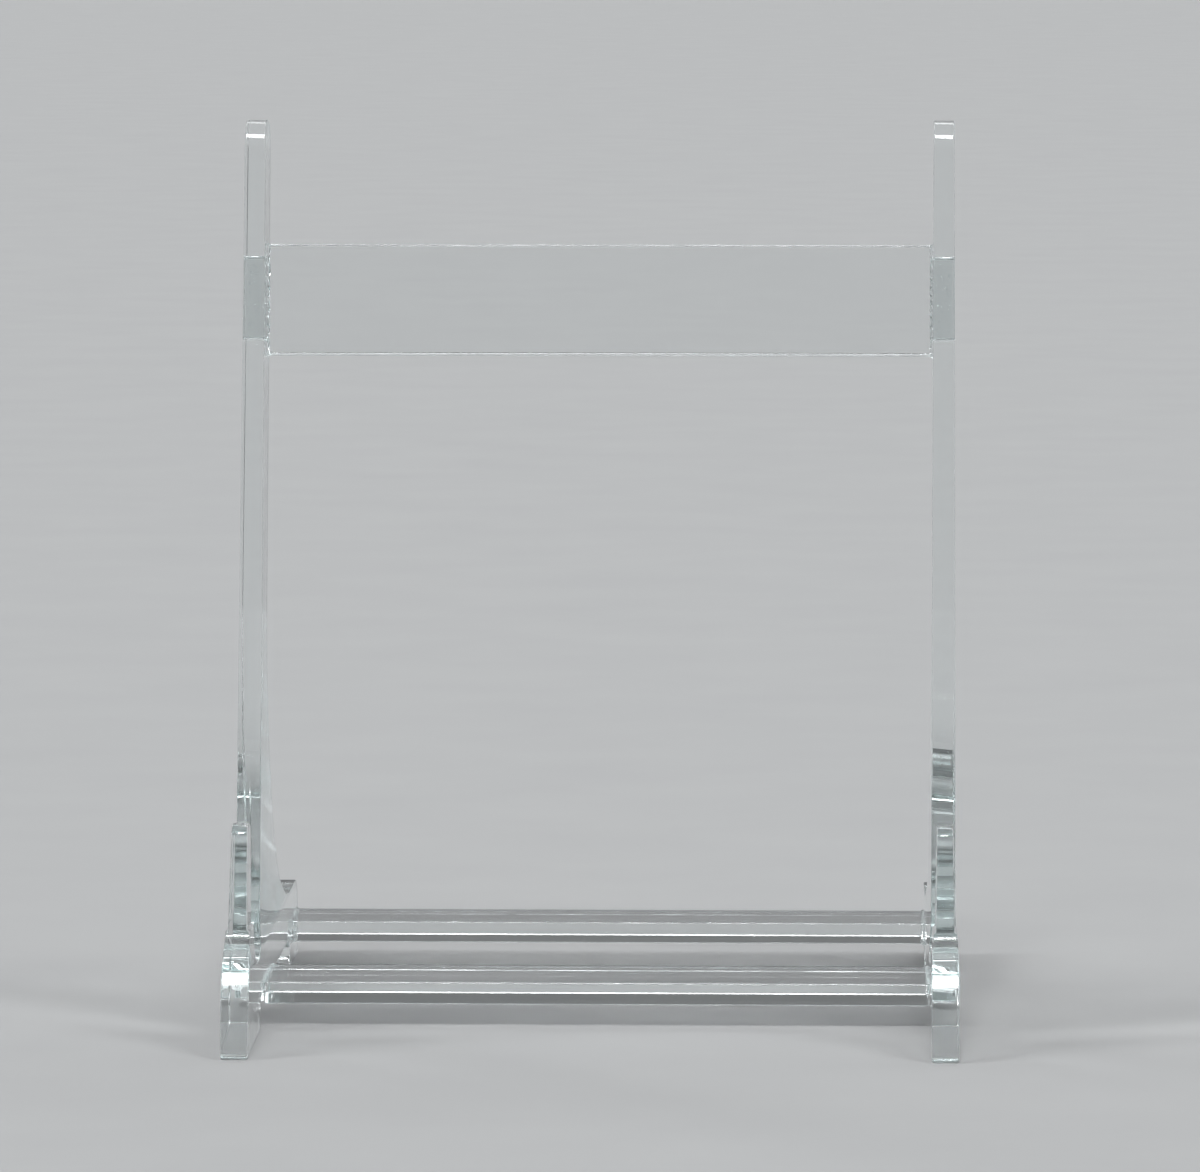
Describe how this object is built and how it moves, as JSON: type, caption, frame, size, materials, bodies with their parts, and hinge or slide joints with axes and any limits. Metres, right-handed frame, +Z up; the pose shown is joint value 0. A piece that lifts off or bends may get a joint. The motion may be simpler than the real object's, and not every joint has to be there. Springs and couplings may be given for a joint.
{
  "type": "plate display stand",
  "caption": "Clear plastic plate display stand: side arms with front prongs and leaning uprights, held parallel by flat crossbars.",
  "frame": {"origin": "on the table, at the middle of the footprint of the feet", "axes": "+Z up; -Y is the front, where the prongs are and the viewer stands; +X is the viewer's right"},
  "size_m": [0.104, 0.1056, 0.13],
  "materials": {
    "clear_arm": "clear acrylic, polished, with worn and slightly rounded edges",
    "clear_bar": "clear acrylic sheet, polished"
  },
  "bodies": {
    "root": {"left_arm": "clear_arm", "right_arm": "clear_arm", "front_crossbar": "clear_bar", "rear_crossbar": "clear_bar", "back_crossbar": "clear_bar"}
  },
  "joints": []
}
